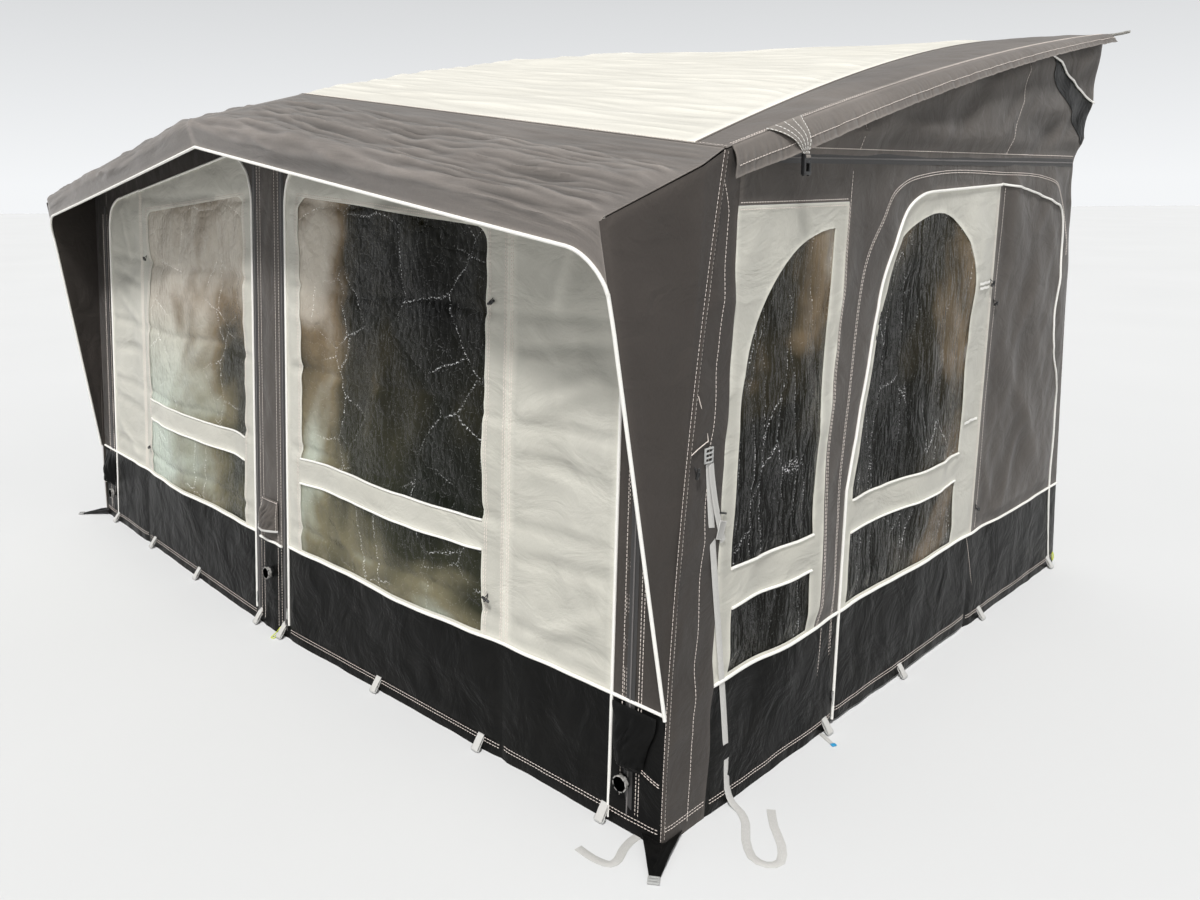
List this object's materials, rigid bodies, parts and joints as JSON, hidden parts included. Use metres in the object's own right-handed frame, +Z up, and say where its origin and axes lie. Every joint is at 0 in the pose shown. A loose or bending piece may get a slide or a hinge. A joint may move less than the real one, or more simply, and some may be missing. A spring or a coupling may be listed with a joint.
{
  "type": "caravan awning",
  "caption": "Inflatable-frame caravan awning with a pitched canopy, front and side doors with clear windows, skirts, air beams and a rail bead along the back of the roof.",
  "frame": {"origin": "centre of the bounding box's bottom face, on the ground, without the two loose straps", "axes": "+X along the caravan, to the right as one looks at the awning's front; +Y from the front wall towards the caravan; +Z up"},
  "size_m": [4.3134, 3.234, 2.4667],
  "materials": {
    "dark_fabric": "matte coated weave",
    "light_fabric": "matte coated weave",
    "roof_fabric": "matte coated weave",
    "black_skirt": "glossy coated sheet",
    "clear_window": "clear film",
    "webbing": "woven",
    "bead_tape": "smooth",
    "air_tube": "smooth film",
    "white_plastic": "moulded",
    "grey_plastic": "moulded",
    "black_plastic": "moulded",
    "slider_metal": "satin"
  },
  "bodies": {
    "shelter": {"air_beam_center": "air_tube", "air_beam_left": "air_tube", "air_beam_right": "air_tube", "canopy_left": "dark_fabric", "canopy_right": "dark_fabric", "center_column": "dark_fabric", "corner_flap_left": "dark_fabric", "corner_flap_right": "dark_fabric", "corner_skirt_left": "black_skirt", "corner_skirt_right": "black_skirt", "edge_flap_left": "dark_fabric", "edge_flap_right": "dark_fabric", "foot_strap": "webbing", "front_strip_left": "light_fabric", "front_strip_right": "light_fabric", "front_surround_left": "dark_fabric", "front_surround_right": "dark_fabric", "gable_left": "dark_fabric", "gable_right": "dark_fabric", "header_beam_left": "air_tube", "header_beam_right": "air_tube", "rail_bead": "bead_tape", "rear_skirt_left": "black_skirt", "rear_skirt_right": "black_skirt", "roof_band_left": "dark_fabric", "roof_band_right": "dark_fabric", "roof_panel": "roof_fabric", "side_panel_left": "light_fabric", "side_panel_right": "light_fabric", "side_skirt_left": "black_skirt", "side_skirt_right": "black_skirt", "side_wall_left": "dark_fabric", "side_wall_right": "dark_fabric", "side_window_left": "clear_window", "side_window_right": "clear_window", "storm_strap": "webbing", "wing_left": "dark_fabric", "wing_right": "dark_fabric"},
    "front_door_right": {"front_door_right_panel": "light_fabric", "front_door_right_skirt": "black_skirt", "front_door_right_window": "clear_window"},
    "side_door_right": {"side_door_right_panel": "light_fabric", "side_door_right_skirt": "black_skirt", "side_door_right_window": "clear_window"},
    "zip_slider_front_right": {"zip_slider_front_right": "slider_metal"},
    "zip_slider_side_right": {"zip_slider_side_right": "slider_metal"},
    "front_door_left": {"front_door_left_panel": "light_fabric", "front_door_left_skirt": "black_skirt", "front_door_left_window": "clear_window"},
    "side_door_left": {"side_door_left_panel": "light_fabric", "side_door_left_skirt": "black_skirt", "side_door_left_window": "clear_window"},
    "zip_slider_front_left": {"zip_slider_front_left": "slider_metal"},
    "zip_slider_side_left": {"zip_slider_side_left": "slider_metal"},
    "valve_cap_right": {"valve_cap_right": "white_plastic"},
    "valve_cap_left": {"valve_cap_left": "white_plastic"},
    "valve_cap_center": {"valve_cap_center": "white_plastic"},
    "ladder_lock": {"ladder_lock": "grey_plastic"},
    "buckle": {"buckle": "black_plastic"}
  },
  "joints": [
    {"name": "front_door_right_swing", "type": "hinge", "parent": "shelter", "child": "front_door_right", "pos_m": [1.33, -1.32812, 0], "axis": [0, 0.04, 0.9992], "range_deg": [-100, 0]},
    {"name": "side_door_right_swing", "type": "hinge", "parent": "shelter", "child": "side_door_right", "pos_m": [1.946, 0.577, 0], "axis": [0.027, 0, 0.9996], "range_deg": [-100, 0]},
    {"name": "zip_slider_front_right_run", "type": "slide", "parent": "shelter", "child": "zip_slider_front_right", "axis": [0, 0.04, 0.9992], "range_m": [0, 1.5]},
    {"name": "zip_slider_side_right_run", "type": "slide", "parent": "shelter", "child": "zip_slider_side_right", "axis": [0.027, 0, 0.9996], "range_m": [0, 0.65]},
    {"name": "front_door_left_swing", "type": "hinge", "parent": "shelter", "child": "front_door_left", "pos_m": [-1.33, -1.32812, 0], "axis": [0, 0.04, 0.9992], "range_deg": [0, 100]},
    {"name": "side_door_left_swing", "type": "hinge", "parent": "shelter", "child": "side_door_left", "pos_m": [-1.946, 0.577, 0], "axis": [-0.027, 0, 0.9996], "range_deg": [0, 100]},
    {"name": "zip_slider_front_left_run", "type": "slide", "parent": "shelter", "child": "zip_slider_front_left", "axis": [0, 0.04, 0.9992], "range_m": [0, 1.5]},
    {"name": "zip_slider_side_left_run", "type": "slide", "parent": "shelter", "child": "zip_slider_side_left", "axis": [-0.027, 0, 0.9996], "range_m": [0, 0.65]},
    {"name": "valve_cap_right_turn", "type": "hinge", "parent": "shelter", "child": "valve_cap_right", "pos_m": [1.82, -1.31897, 0.14], "axis": [0, -1, 0], "continuous": true},
    {"name": "valve_cap_left_turn", "type": "hinge", "parent": "shelter", "child": "valve_cap_left", "pos_m": [-1.82, -1.31897, 0.14], "axis": [0, -1, 0], "continuous": true},
    {"name": "valve_cap_center_turn", "type": "hinge", "parent": "shelter", "child": "valve_cap_center", "pos_m": [0, -1.3887, 0.24], "axis": [0, -1, 0], "continuous": true},
    {"name": "ladder_lock_lift", "type": "hinge", "parent": "shelter", "child": "ladder_lock", "pos_m": [1.9797, -1.168, 1.089], "axis": [0, 1, 0], "range_deg": [-60, 0]},
    {"name": "buckle_swing", "type": "hinge", "parent": "shelter", "child": "buckle", "pos_m": [2.0614, -0.863, 1.84253], "axis": [0, 1, 0], "range_deg": [-60, 0]}
  ]
}
